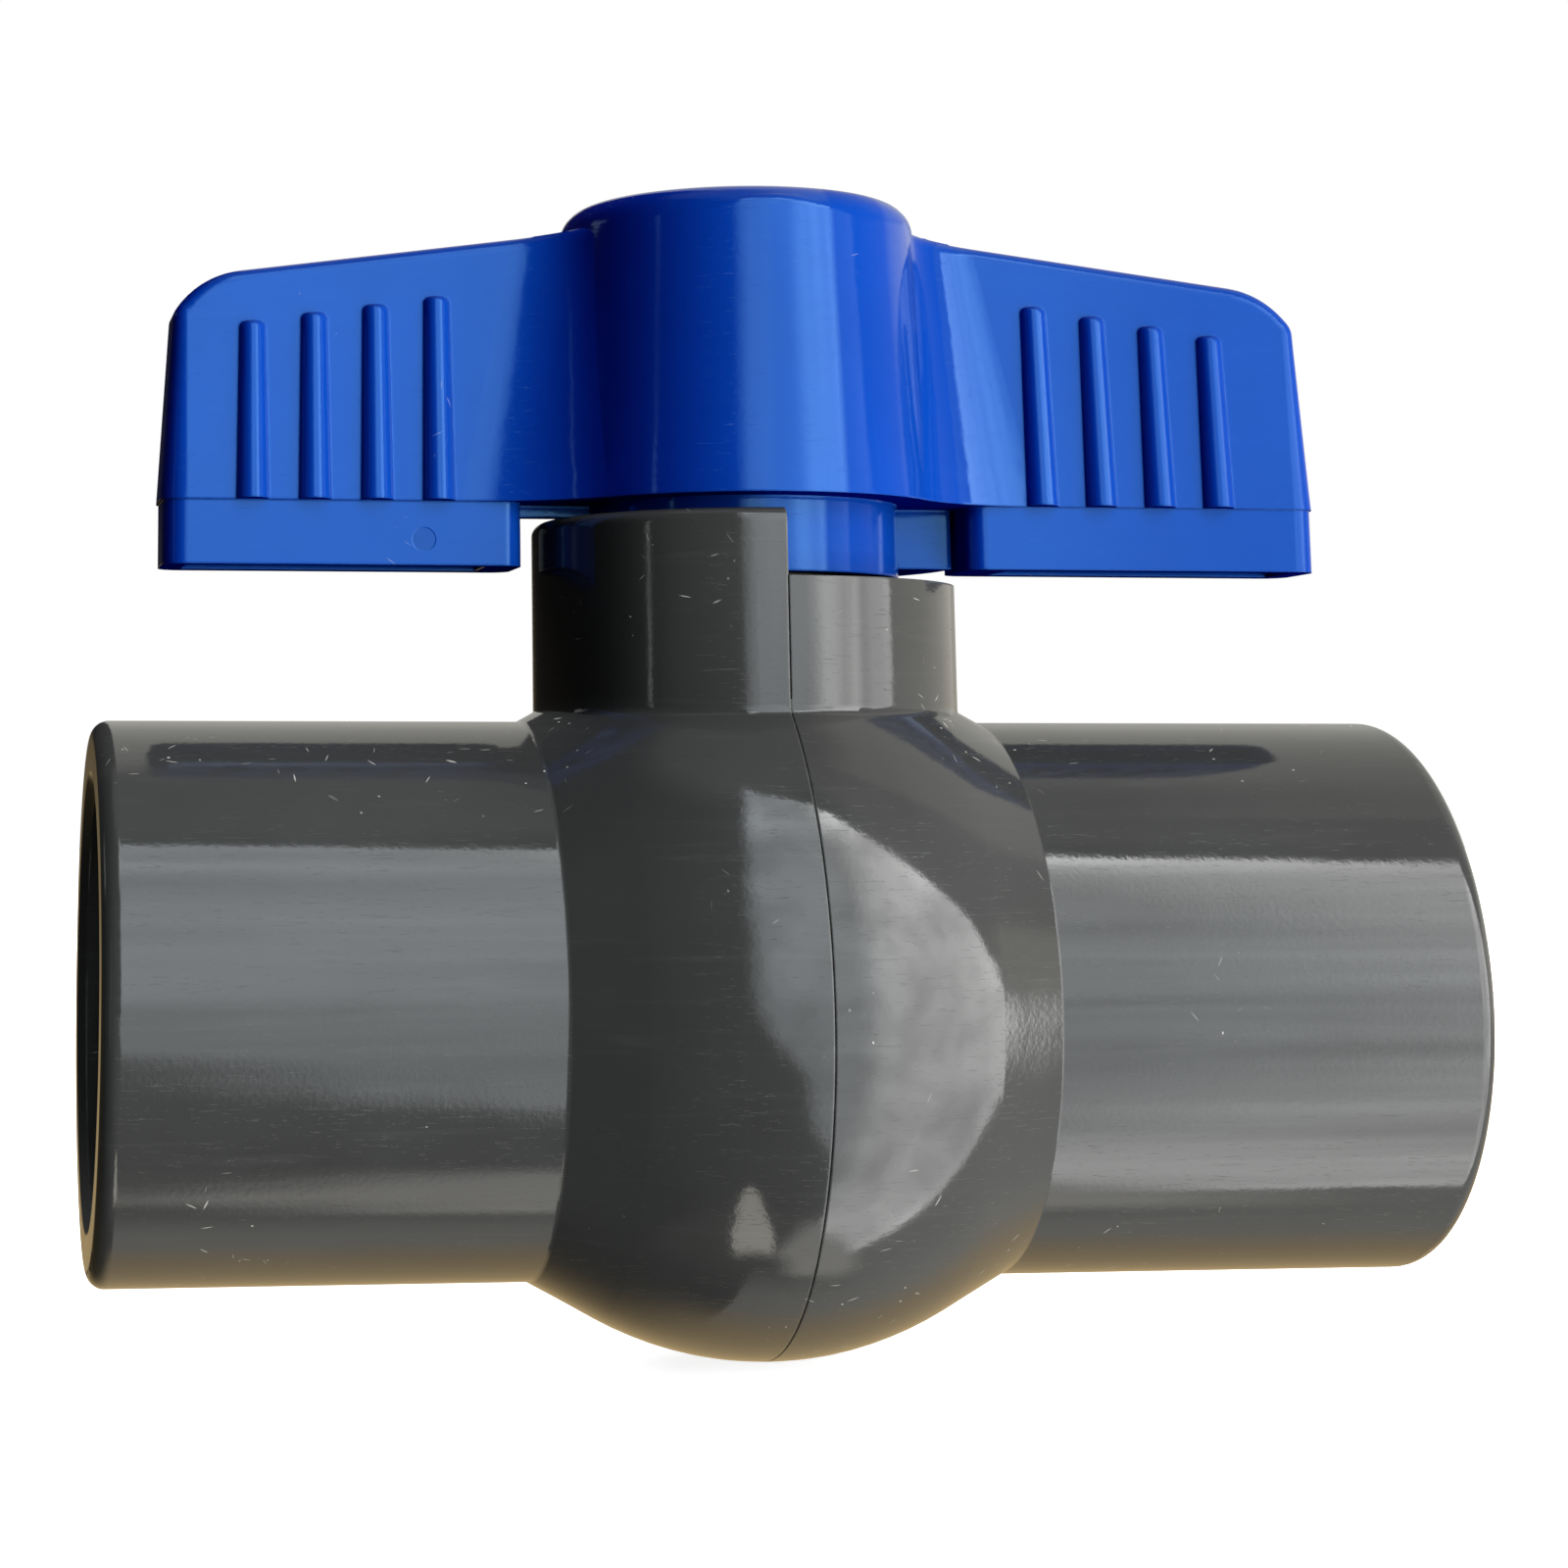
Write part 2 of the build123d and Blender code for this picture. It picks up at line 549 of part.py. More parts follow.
# ---- screw, washer and cap ----------------------------------------------------------
def handle_screw():
    """Cross-head thread-forming screw that holds the handle on the stem."""
    under_head = HUB_CEILING_Z + SCREW_WASHER_T + 2 * AIR
    tip_z = under_head - SCREW_L
    head = cyl_z(SCREW_HEAD_R, under_head, under_head + SCREW_HEAD_H)
    head = fillet(head.edges().group_by(Axis.Z)[-1], SCREW_HEAD_ROUND)
    shank = cyl_z(THREAD_CORE_R, tip_z, under_head)
    shank = chamfer(shank.edges().group_by(Axis.Z)[0], SCREW_TIP_CHAMFER)
    solid = head + shank + cyl_z(SCREW_R, under_head - SCREW_PLAIN_L, under_head)
    flank = THREAD_PITCH / 3
    lower = Cone(THREAD_CORE_R, SCREW_R, flank, align=(Align.CENTER, Align.CENTER, Align.MIN))
    upper = Cone(SCREW_R, THREAD_CORE_R, flank, align=(Align.CENTER, Align.CENTER, Align.MIN))
    ridge = lower + Pos(0, 0, flank) * upper
    turns = int((SCREW_L - SCREW_PLAIN_L - FIRST_THREAD_Z) / THREAD_PITCH)
    for turn in range(turns):
        solid += Pos(0, 0, tip_z + FIRST_THREAD_Z + turn * THREAD_PITCH) * ridge
    cross = Rectangle(SCREW_CROSS_L, SCREW_CROSS_W) + Rectangle(SCREW_CROSS_W, SCREW_CROSS_L)
    cross_z = under_head + SCREW_HEAD_H - SCREW_CROSS_DEPTH
    return solid - Pos(0, 0, cross_z) * extrude(cross, SCREW_CROSS_DEPTH + OVER)


def screw_washer():
    """Flat washer under the screw's head."""
    z0 = HUB_CEILING_Z + AIR
    ring = cyl_z(SCREW_WASHER_R, z0, z0 + SCREW_WASHER_T)
    return ring - cyl_z(SCREW_HOLE_R, z0 - OVER, z0 + SCREW_WASHER_T + OVER)


def handle_cap():
    """Push-in cap that closes the top of the hub, with a notch to lift it out."""
    seat_z = HUB_TOP_Z - CAP_SEAT_DEPTH + AIR
    disc = cyl_z(CAP_SEAT_R - CAP_GAP, seat_z, HUB_TOP_Z - CAP_BELOW_TOP)
    disc = fillet(disc.edges().group_by(Axis.Z)[-1], CAP_EDGE_ROUND)
    rim_r = HEAD_WELL_R - CAP_GAP
    rim_bottom_z = seat_z - CAP_RIM_L
    rim = cyl_z(rim_r, rim_bottom_z, seat_z + LAP)
    rim -= cyl_z(rim_r - CAP_RIM_T, rim_bottom_z - OVER, seat_z + TOL)
    notch_y = NOTCH_IN - CAP_SEAT_R
    notch = block(-NOTCH_W / 2, NOTCH_W / 2, -FAR, notch_y, seat_z + NOTCH_FLOOR, HUB_TOP_Z)
    return disc + rim - notch


# ---- all pieces ---------------------------------------------------------------------
def all_pieces():
    """Node name to solid, in the modelling frame."""
    left, right = body_halves()
    return {
        "body_left_half": left,
        "body_right_half": right,
        "ball": ball(),
        "seat_ring_left": seat_ring(-1),
        "seat_ring_right": seat_ring(1),
        "seat_o_ring_left": seat_o_ring(-1),
        "seat_o_ring_right": seat_o_ring(1),
        "stem": stem(),
        "stem_o_ring_lower": stem_o_ring(STEM_RING_Z[0]),
        "stem_o_ring_upper": stem_o_ring(STEM_RING_Z[1]),
        "thrust_washer": thrust_washer(),
        "handle": handle(),
        "handle_screw": handle_screw(),
        "screw_washer": screw_washer(),
        "handle_cap": handle_cap(),
    }


def place(piece):
    """Lift from the ball's centre to the lowest point of the body."""
    return Pos(0, 0, BULGE_R) * piece


os.makedirs("parts", exist_ok=True)
for name, piece in all_pieces().items():
    export_step(place(piece), f"parts/{name}.step")
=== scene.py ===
import json
import math

import bpy
from mathutils import Matrix, Vector


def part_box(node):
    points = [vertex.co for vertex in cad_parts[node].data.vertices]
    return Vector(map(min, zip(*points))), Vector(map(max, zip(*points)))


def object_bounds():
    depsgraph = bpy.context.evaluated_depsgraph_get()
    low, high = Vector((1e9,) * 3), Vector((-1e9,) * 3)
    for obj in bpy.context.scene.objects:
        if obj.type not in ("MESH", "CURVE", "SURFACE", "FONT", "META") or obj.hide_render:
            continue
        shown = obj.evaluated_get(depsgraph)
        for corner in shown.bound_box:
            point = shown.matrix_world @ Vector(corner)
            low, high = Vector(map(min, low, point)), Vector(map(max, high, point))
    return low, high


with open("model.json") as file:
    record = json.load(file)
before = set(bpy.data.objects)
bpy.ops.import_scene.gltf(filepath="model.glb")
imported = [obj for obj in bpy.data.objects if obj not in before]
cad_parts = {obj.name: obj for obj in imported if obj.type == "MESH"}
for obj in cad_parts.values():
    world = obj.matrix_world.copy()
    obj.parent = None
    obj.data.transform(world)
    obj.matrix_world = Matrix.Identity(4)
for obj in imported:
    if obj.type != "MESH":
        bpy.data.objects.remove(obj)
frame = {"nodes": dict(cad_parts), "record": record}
CAD_LOW, CAD_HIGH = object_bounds()

MM = 0.001

# The ball sits on the pipe's axis.
BALL_LOW, BALL_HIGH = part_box("ball")
PIPE_AXIS_Z = (BALL_LOW.z + BALL_HIGH.z) / 2

# Camera: where it stands and how it is turned. The object is low and right of its axis, so the lens is
# shifted.
CAMERA_AT = Vector((-62.481 * MM, -258.040 * MM, PIPE_AXIS_Z + 14.149 * MM))
CAMERA_AZIMUTH = -6.979
CAMERA_ELEVATION = -9.144
CAMERA_ROLL = -0.034
CAMERA_LENS = 78.277
CAMERA_SHIFT_X = 0.28086
CAMERA_SHIFT_Y = -0.33501
SENSOR_WIDTH = 36.0
CLIP_START = 0.01
CLIP_END = 20.0
SHIFT_REACH = 20.0 * MM  # the shift has faded out this far from the standpoint

# The surroundings. Directions are (elevation, azimuth from -Y towards +X), in degrees. The first two points
# of each list are its ends; the others follow in between.
WINDOW_LEFT = (
    (-90, 60), (90, -14),
    (-66, 32), (-45, 16), (-37, 10), (-22, 5), (-15, -1), (-8, -8), (0, -11), (15, -12),
)
WINDOW_RIGHT = (
    (-90, 78), (90, -60),
    (-20, 77), (0, 74), (20, 66), (40, 50), (50, 41), (60, 31), (66, 15), (71, -12),
)
WINDOW_NEAR = 1.6  # brightness beside the person, and farther right
WINDOW_FAR = 3.4
WINDOW_NEAR_END = 20.0
WINDOW_FAR_START = 33.0
WINDOW_FOOT = -71.5
WINDOW_FOOT_FULL = -67.5
WINDOW_TOWARD = Vector((0.565, -0.807, 0.174))

# Half width in azimuth of the daylight gap under the table's edge, by elevation.
GAP_SPREAD = ((-90, 60), (90, 0), (-80, 28), (-70, 12), (-60, 5), (-57, 0))
GAP_AZIMUTH = -15.0
DROP_AZIMUTH = -116.0  # a bright opening that widens upwards
SLIT_AZIMUTHS = (-65.0, -63.4)
SLIT_ELEVATIONS = (-12.0, 18.5)
SLIT_BREAK = (12.9, 15.6)
WALL_AZIMUTHS = (74.0, 142.0)
WALL_ELEVATIONS = (-6.0, 15.0)
BAND_AZIMUTHS = (24.0, 104.0)
BAND_ELEVATIONS = (-83.0, -68.0)

# A light that keeps the back of the object from going dark.
BACK_LIGHT_AT = Vector((-0.25, 0.95, 0.65))
BACK_LIGHT_SIZE = 0.9
BACK_LIGHT_POWER = 22.0

FLOOR_HALF = 3.0
FLOOR_BELOW = 0.05 * MM

# Where the neck and the handle lose their shine: azimuths of the surface, in degrees, and places along X.
SHADE_START = (16.5, 19.5)
SHADE_END = (46.0, 40.0)
FLARE_X = (10.0 * MM, 14.0 * MM)
FLARE_TURN = 11.0
WING_X = (14.0 * MM, 44.0 * MM)
WING_SHINE = 0.5
# Painted shade on the left of the neck: the direction it faces, and the heights over which it sets in.
NECK_DARK_TOWARD = (-0.985, -0.174, 0.0)
NECK_DARK_Z = (45.0 * MM, 49.0 * MM)

# Marks on the handle, an ejector pin's and two nicks: centre, radius, depth in mm, how much darker.
HANDLE_MARKS = (
    (Vector((-25.3, -4.0, 60.4)) * MM, 0.90 * MM, 0.03, 0.25),
    (Vector((-1.4, -13.7, 75.9)) * MM, 0.28 * MM, 0.05, 0.9),
    (Vector((-1.1, -13.7, 75.4)) * MM, 0.34 * MM, 0.05, 0.9),
)

# Where lint has gathered on the body: around the neck, on the socket ends and under the middle.
LINT_SPOTS = (
    Vector((-9.0, -13.0, 57.0)) * MM,
    Vector((14.0, -13.0, 46.0)) * MM,
    Vector((19.0, -9.0, 45.0)) * MM,
    Vector((-40.0, -14.0, 12.0)) * MM,
    Vector((-44.0, -10.0, 44.0)) * MM,
    Vector((36.0, -9.0, 45.0)) * MM,
    Vector((3.0, -15.0, 5.0)) * MM,
    Vector((-20.0, -12.0, 43.0)) * MM,
)
LINT_SPREAD = 7.0 * MM
FIBRE_CELL, FIBRE_LENGTH = 1.6 * MM, 1.1 * MM
DUST_CELL, DUST_LENGTH = 1.2 * MM, 0.28 * MM
MARK_EDGE = 0.06 * MM
PLASTIC_INDEX = 1.65


# ---- node helpers ---------------------------------------------------------------------
class Nodes:
    """Short calls for building a node tree."""

    def __init__(self, tree):
        self.tree = tree
        tree.nodes.clear()

    def add(self, kind, **settings):
        node = self.tree.nodes.new(kind)
        for name, value in settings.items():
            setattr(node, name, value)
        return node

    def link(self, source, target):
        self.tree.links.new(source, target)

    def set(self, node, **inputs):
        for name, value in inputs.items():
            socket = node.inputs[name.replace("_", " ")]
            if isinstance(value, bpy.types.NodeSocket):
                self.link(value, socket)
            else:
                socket.default_value = value
        return node

    def math(self, operation, first, second=0.0, third=None):
        """A sum, product or other function of numbers or sockets."""
        node = self.add("ShaderNodeMath", operation=operation)
        for index, value in enumerate((first, second, third)):
            if value is None:
                continue
            if isinstance(value, bpy.types.NodeSocket):
                self.link(value, node.inputs[index])
            else:
                node.inputs[index].default_value = value
        return node.outputs[0]

    def noise(self, vector, scale, detail=3.0, roughness=0.5, distortion=0.0):
        node = self.add("ShaderNodeTexNoise")
        self.set(node, Vector=vector, Scale=scale, Detail=detail, Roughness=roughness, Distortion=distortion)
        return node.outputs["Fac"]

    def ramp(self, value, low, high, out_low=0.0, out_high=1.0, smooth=True):
        """The value carried from low..high over to out_low..out_high, and held at the ends."""
        node = self.add("ShaderNodeMapRange", interpolation_type="SMOOTHSTEP" if smooth else "LINEAR")
        node.clamp = True
        self.link(value, node.inputs["Value"])
        node.inputs["From Min"].default_value = low
        node.inputs["From Max"].default_value = high
        node.inputs["To Min"].default_value = out_low
        node.inputs["To Max"].default_value = out_high
        return node.outputs["Result"]

    def mix(self, factor, first, second):
        node = self.add("ShaderNodeMix", data_type="RGBA")
        for socket, value in ((node.inputs[0], factor), (node.inputs[6], first), (node.inputs[7], second)):
            if isinstance(value, bpy.types.NodeSocket):
                self.link(value, socket)
            else:
                socket.default_value = value
        return node.outputs[2]

    def curve(self, value, points, low, high, out_low, out_high):
        """A value carried over by straight lines between points: each is (value in, value out)."""
        node = self.add("ShaderNodeFloatCurve")
        knots = node.mapping.curves[0].points
        for index, (source, target) in enumerate(points):
            at = ((source - low) / (high - low), (target - out_low) / (out_high - out_low))
            knot = knots[index] if index < 2 else knots.new(*at)
            knot.location = at
            knot.handle_type = "VECTOR"
        node.mapping.update()
        self.link(self.ramp(value, low, high, smooth=False), node.inputs["Value"])
        return self.ramp(node.outputs["Value"], 0.0, 1.0, out_low, out_high, smooth=False)

    def stretch(self, vector, scale):
        node = self.add("ShaderNodeMapping")
        self.link(vector, node.inputs["Vector"])
        node.inputs["Scale"].default_value = scale
        return node.outputs["Vector"]


def rgb(red, green, blue):
    return (red, green, blue, 1.0)


def new_material(name):
    material = bpy.data.materials.new(name)
    material.use_nodes = True
    return material, Nodes(material.node_tree)


# ---- materials ------------------------------------------------------------------------
def lint(n, place, cell, length, thinness, share):
    """Short fibres at random angles: each is a thin disc that the surface cuts in a line."""
    speck = n.add("ShaderNodeTexVoronoi", feature="F1")
    n.set(speck, Vector=place, Scale=1.0 / cell, Randomness=1.0)
    local = n.add("ShaderNodeVectorMath", operation="SUBTRACT")
    n.link(place, local.inputs[0])
    n.link(speck.outputs["Position"], local.inputs[1])
    turned = n.add("ShaderNodeVectorRotate", rotation_type="EULER_XYZ")
    n.link(local.outputs[0], turned.inputs["Vector"])
    angles = n.add("ShaderNodeVectorMath", operation="SCALE")
    n.link(speck.outputs["Color"], angles.inputs[0])
    angles.inputs["Scale"].default_value = 2 * math.pi
    n.link(angles.outputs[0], turned.inputs["Rotation"])
    reach = n.add("ShaderNodeVectorMath", operation="LENGTH")
    n.link(n.stretch(turned.outputs[0], (thinness, 1.0, 1.0)), reach.inputs[0])
    fibre = n.ramp(reach.outputs["Value"], length / 2, length / 4)
    chosen = n.add("ShaderNodeSeparateXYZ")
    n.link(speck.outputs["Color"], chosen.inputs[0])
    return n.math("MULTIPLY", fibre, n.math("LESS_THAN", chosen.outputs[1], share))


def near(n, place, spot, inner, outer):
    """One within the inner distance of a spot, zero beyond the outer one."""
    away = n.add("ShaderNodeVectorMath", operation="DISTANCE")
    n.link(place, away.inputs[0])
    away.inputs[1].default_value = spot
    return n.ramp(away.outputs["Value"], outer, inner)


def painted_shade_away_from_window(n, colour):
    """Painted shade: the colour is made deeper on faces turned away from the window, and darker when seen in
    a reflection.
    """
    geometry = n.add("ShaderNodeNewGeometry")
    toward = n.add("ShaderNodeVectorMath", operation="DOT_PRODUCT")
    n.link(geometry.outputs["Normal"], toward.inputs[0])
    toward.inputs[1].default_value = WINDOW_TOWARD
    normal = n.add("ShaderNodeSeparateXYZ")
    n.link(geometry.outputs["Normal"], normal.inputs[0])
    facing = n.ramp(toward.outputs["Value"], -0.3, 0.8, smooth=False)
    facing = n.math("MAXIMUM", facing, n.ramp(normal.outputs[1], 0.1, 0.5))
    channels = n.add("ShaderNodeCombineColor")
    n.link(n.math("POWER", facing, 3.0), channels.inputs[0])
    n.link(n.ramp(n.math("POWER", facing, 2.0), 0.0, 1.0, 0.05, 1.0, smooth=False), channels.inputs[1])
    n.link(n.ramp(facing, 0.0, 1.0, 0.34, 1.0, smooth=False), channels.inputs[2])
    product = n.add("ShaderNodeMix", data_type="RGBA", blend_type="MULTIPLY")
    product.inputs[0].default_value = 1.0
    n.link(colour, product.inputs[6])
    n.link(channels.outputs[0], product.inputs[7])
    reflected = n.add("ShaderNodeLightPath").outputs["Is Glossy Ray"]
    return n.mix(n.math("MULTIPLY", reflected, 0.6), product.outputs[2], rgb(0.0, 0.003, 0.03))


def darker_on_the_left(n, place, colour):
    """Painted shade: little light reaches the left of the neck, below the wing, so its colour is darkened
    there.
    """
    toward = n.add("ShaderNodeVectorMath", operation="DOT_PRODUCT")
    n.link(n.add("ShaderNodeNewGeometry").outputs["Normal"], toward.inputs[0])
    toward.inputs[1].default_value = NECK_DARK_TOWARD
    at = n.add("ShaderNodeSeparateXYZ")
    n.link(place, at.inputs[0])
    share = n.ramp(toward.outputs["Value"], 0.62, 0.95, 0.0, 0.85)
    share = n.math("MULTIPLY", share, n.ramp(at.outputs[2], *NECK_DARK_Z))
    return n.mix(share, colour, rgb(0.002, 0.0018, 0.0015))


def glare(n, place, from_z, full_z, kept):
    """Share of the shine left above a height: something beside the window keeps it off the right side."""
    split = n.add("ShaderNodeSeparateXYZ")
    n.link(n.add("ShaderNodeNewGeometry").outputs["Normal"], split.inputs[0])
    forward = n.math("MULTIPLY", split.outputs[1], -1.0)
    turned = n.math("DEGREES", n.math("ARCTAN2", split.outputs[0], forward))
    at = n.add("ShaderNodeSeparateXYZ")
    n.link(place, at.inputs[0])
    on_flare = n.ramp(at.outputs[0], *FLARE_X)
    turned = n.math("MULTIPLY_ADD", on_flare, -FLARE_TURN, turned)
    high = n.ramp(at.outputs[2], from_z, full_z)
    shaded = n.math("MULTIPLY", n.ramp(turned, *SHADE_START), n.ramp(turned, *SHADE_END))
    shaded = n.math("MULTIPLY", shaded, high)
    share = n.ramp(shaded, 0.0, 1.0, 1.0, kept, smooth=False)
    out_on_wing = n.math("MULTIPLY", n.ramp(at.outputs[0], *WING_X), high)
    share = n.math("MULTIPLY", share, n.ramp(out_on_wing, 0.0, 1.0, 1.0, WING_SHINE, smooth=False))
    under = n.ramp(split.outputs[2], -0.4, -0.85)
    inner_end = n.math("MULTIPLY", n.ramp(split.outputs[0], -0.85, -0.95), on_flare)
    hidden = n.math("MULTIPLY", n.math("MAXIMUM", under, inner_end), high)
    return n.math("MULTIPLY", share, n.math("SUBTRACT", 1.0, hidden))


def index_for(n, share):
    """Refractive index whose mirror strength is a share of that of the plastic."""
    full = (PLASTIC_INDEX - 1.0) / (PLASTIC_INDEX + 1.0)
    root = n.math("MULTIPLY", n.math("SQRT", share), full)
    return n.math("DIVIDE", n.math("ADD", root, 1.0), n.math("SUBTRACT", 1.0, root))


def moulded_plastic(
    name, base, deep, worn, roughness, wave, speck_amount, edge_round,
    tint=rgb(1, 1, 1), marks=(), spots=(), painted_window_shade=False, shade=None,
):
    """Moulded plastic: cloudy colour, fine ripple, rubbed edges, dust, lint, nicks and pin marks, and
    painted shade set by surface direction.
    """
    material, n = new_material(name)
    place = n.add("ShaderNodeTexCoord").outputs["Object"]

    cloud = n.noise(place, 55.0, 4.0, 0.55)
    flow = n.noise(n.stretch(place, (60.0, 60.0, 900.0)), 1.0, 3.0, 0.6, 0.6)
    colour = n.mix(n.ramp(cloud, 0.3, 0.7), deep, base)
    colour = n.mix(n.math("MULTIPLY", n.ramp(flow, 0.55, 0.8), 0.07), colour, worn)

    # Rubbed edges, where the surface normal and the rounded normal differ.
    geometry = n.add("ShaderNodeNewGeometry")
    rounded = n.add("ShaderNodeBevel", samples=6)
    rounded.inputs["Radius"].default_value = edge_round
    turn = n.add("ShaderNodeVectorMath", operation="DOT_PRODUCT")
    n.link(geometry.outputs["Normal"], turn.inputs[0])
    n.link(rounded.outputs["Normal"], turn.inputs[1])
    edge = n.ramp(turn.outputs["Value"], 0.97, 0.8)
    edge = n.math("MULTIPLY", edge, n.ramp(n.noise(place, 700.0, 3.0), 0.35, 0.7, 0.2, 0.8))
    colour = n.mix(edge, colour, worn)

    # Dust and lint caught on the surface.
    dusty = n.ramp(n.noise(place, 60.0, 2.0), 0.58, 0.70)
    for spot in spots:
        dusty = n.math("MAXIMUM", dusty, near(n, place, spot, LINT_SPREAD / 3, LINT_SPREAD))
    fibres = lint(n, place, FIBRE_CELL, FIBRE_LENGTH, 14.0, 0.45)
    dust = lint(n, place, DUST_CELL, DUST_LENGTH, 1.6, 0.35)
    fleck = n.math("MULTIPLY", n.math("MAXIMUM", fibres, dust), dusty)
    fleck = n.math("MULTIPLY", fleck, speck_amount)
    colour = n.mix(fleck, colour, rgb(0.60, 0.58, 0.53))

    # Surface relief: slow waves from cooling, fine grain, hairline scratches.
    slow = n.noise(place, 95.0, 2.0, 0.4)
    fine = n.noise(place, 2600.0, 2.0, 0.5)
    scratch = n.noise(n.stretch(place, (500.0, 500.0, 9000.0)), 1.0, 1.0, 0.5, 1.5)
    scratch = n.ramp(scratch, 0.70, 0.74)
    height = n.math("MULTIPLY", slow, wave)
    height = n.math("MULTIPLY_ADD", fine, 0.004, height)
    height = n.math("MULTIPLY_ADD", scratch, -0.004, height)
    for centre, radius, depth, darkness in marks:
        dent = near(n, place, centre, radius - MARK_EDGE, radius + MARK_EDGE)
        height = n.math("MULTIPLY_ADD", dent, -depth, height)
        colour = n.mix(n.math("MULTIPLY", dent, darkness), colour, rgb(0.0, 0.01, 0.12))
    bump = n.add("ShaderNodeBump")
    bump.inputs["Strength"].default_value = 1.0
    bump.inputs["Distance"].default_value = 1.0 * MM
    n.link(height, bump.inputs["Height"])
    n.link(rounded.outputs["Normal"], bump.inputs["Normal"])

    rough = n.ramp(n.noise(place, 130.0, 4.0, 0.6), 0.25, 0.75, roughness * 0.8, roughness * 1.25)
    rough = n.math("MULTIPLY_ADD", fleck, 0.5, rough)
    shader = n.add("ShaderNodeBsdfPrincipled")
    # Painted shade: the handle's colour deepens on faces turned from the window, and the others darken on
    # the left of the neck.
    colour = painted_shade_away_from_window(n, colour) if painted_window_shade else darker_on_the_left(n, place, colour)
    n.set(shader, Base_Color=colour, Roughness=rough, Normal=bump.outputs["Normal"], Specular_Tint=tint)
    index = index_for(n, glare(n, place, *shade)) if shade else PLASTIC_INDEX
    n.set(shader, IOR=index)
    n.set(n.add("ShaderNodeOutputMaterial"), Surface=shader.outputs["BSDF"])
    return material


def rubber(name):
    """Black EPDM with a faint bloom."""
    material, n = new_material(name)
    place = n.add("ShaderNodeTexCoord").outputs["Object"]
    bloom = n.ramp(n.noise(place, 400.0, 4.0), 0.4, 0.75)
    colour = n.mix(bloom, rgb(0.012, 0.012, 0.012), rgb(0.035, 0.035, 0.034))
    bump = n.add("ShaderNodeBump")
    bump.inputs["Distance"].default_value = 0.02 * MM
    n.link(n.noise(place, 3500.0), bump.inputs["Height"])
    shader = n.add("ShaderNodeBsdfPrincipled")
    rough = n.ramp(bloom, 0.0, 1.0, 0.45, 0.7)
    n.set(shader, Base_Color=colour, Roughness=rough, Normal=bump.outputs["Normal"])
    n.set(n.add("ShaderNodeOutputMaterial"), Surface=shader.outputs["BSDF"])
    return material


def steel(name):
    """Turned stainless steel with fine rings and light staining."""
    material, n = new_material(name)
    place = n.add("ShaderNodeTexCoord").outputs["Object"]
    stain = n.ramp(n.noise(place, 900.0, 5.0, 0.65), 0.35, 0.7)
    colour = n.mix(stain, rgb(0.50, 0.49, 0.47), rgb(0.68, 0.67, 0.65))
    bump = n.add("ShaderNodeBump")
    bump.inputs["Distance"].default_value = 0.01 * MM
    n.link(n.noise(n.stretch(place, (1.0, 1.0, 12.0)), 2500.0), bump.inputs["Height"])
    shader = n.add("ShaderNodeBsdfPrincipled")
    rough = n.ramp(stain, 0.0, 1.0, 0.38, 0.22)
    n.set(shader, Base_Color=colour, Roughness=rough, Metallic=1.0, Normal=bump.outputs["Normal"])
    n.set(n.add("ShaderNodeOutputMaterial"), Surface=shader.outputs["BSDF"])
    return material


def give_materials():
    """One material for each of the record's slots, on the CAD nodes that use it."""
    made = {
        "body_plastic": moulded_plastic(
            "grey_pvc", rgb(0.050, 0.051, 0.050), rgb(0.042, 0.042, 0.041), rgb(0.20, 0.20, 0.195),
            0.085, 0.035, 0.9, 0.20 * MM, spots=LINT_SPOTS, shade=(46.5 * MM, 48.0 * MM, 0.6),
        ),
        # The handle's colour gets painted shade on faces turned from the window.
        "handle_plastic": moulded_plastic(
            "blue_plastic", rgb(0.0026, 0.054, 0.385), rgb(0.0022, 0.047, 0.345), rgb(0.02, 0.10, 0.48),
            0.09, 0.040, 0.30, 0.25 * MM, rgb(0.25, 0.6, 1.0), HANDLE_MARKS,
            painted_window_shade=True, shade=(20.0 * MM, 21.0 * MM, 0.15),
        ),
        "ball_plastic": moulded_plastic(
            "ball_pvc", rgb(0.42, 0.43, 0.44), rgb(0.36, 0.37, 0.38), rgb(0.55, 0.56, 0.57),
            0.12, 0.01, 0.0, 0.3 * MM,
        ),
        "stem_plastic": moulded_plastic(
            "stem_pvc", rgb(0.15, 0.16, 0.16), rgb(0.12, 0.125, 0.125), rgb(0.25, 0.25, 0.25),
            0.35, 0.02, 0.0, 0.15 * MM,
        ),
        "seat_plastic": moulded_plastic(
            "seat_ptfe", rgb(0.82, 0.82, 0.79), rgb(0.74, 0.74, 0.70), rgb(0.9, 0.9, 0.88),
            0.45, 0.02, 0.0, 0.15 * MM,
        ),
        "seal_rubber": rubber("epdm_rubber"),
        "fastener_steel": steel("stainless_steel"),
    }
    slots = {row["node"]: row["material_slot"] for row in frame["record"]["subparts"]}
    for name, node in frame["nodes"].items():
        node.data.materials.clear()
        node.data.materials.append(made[slots[name]])


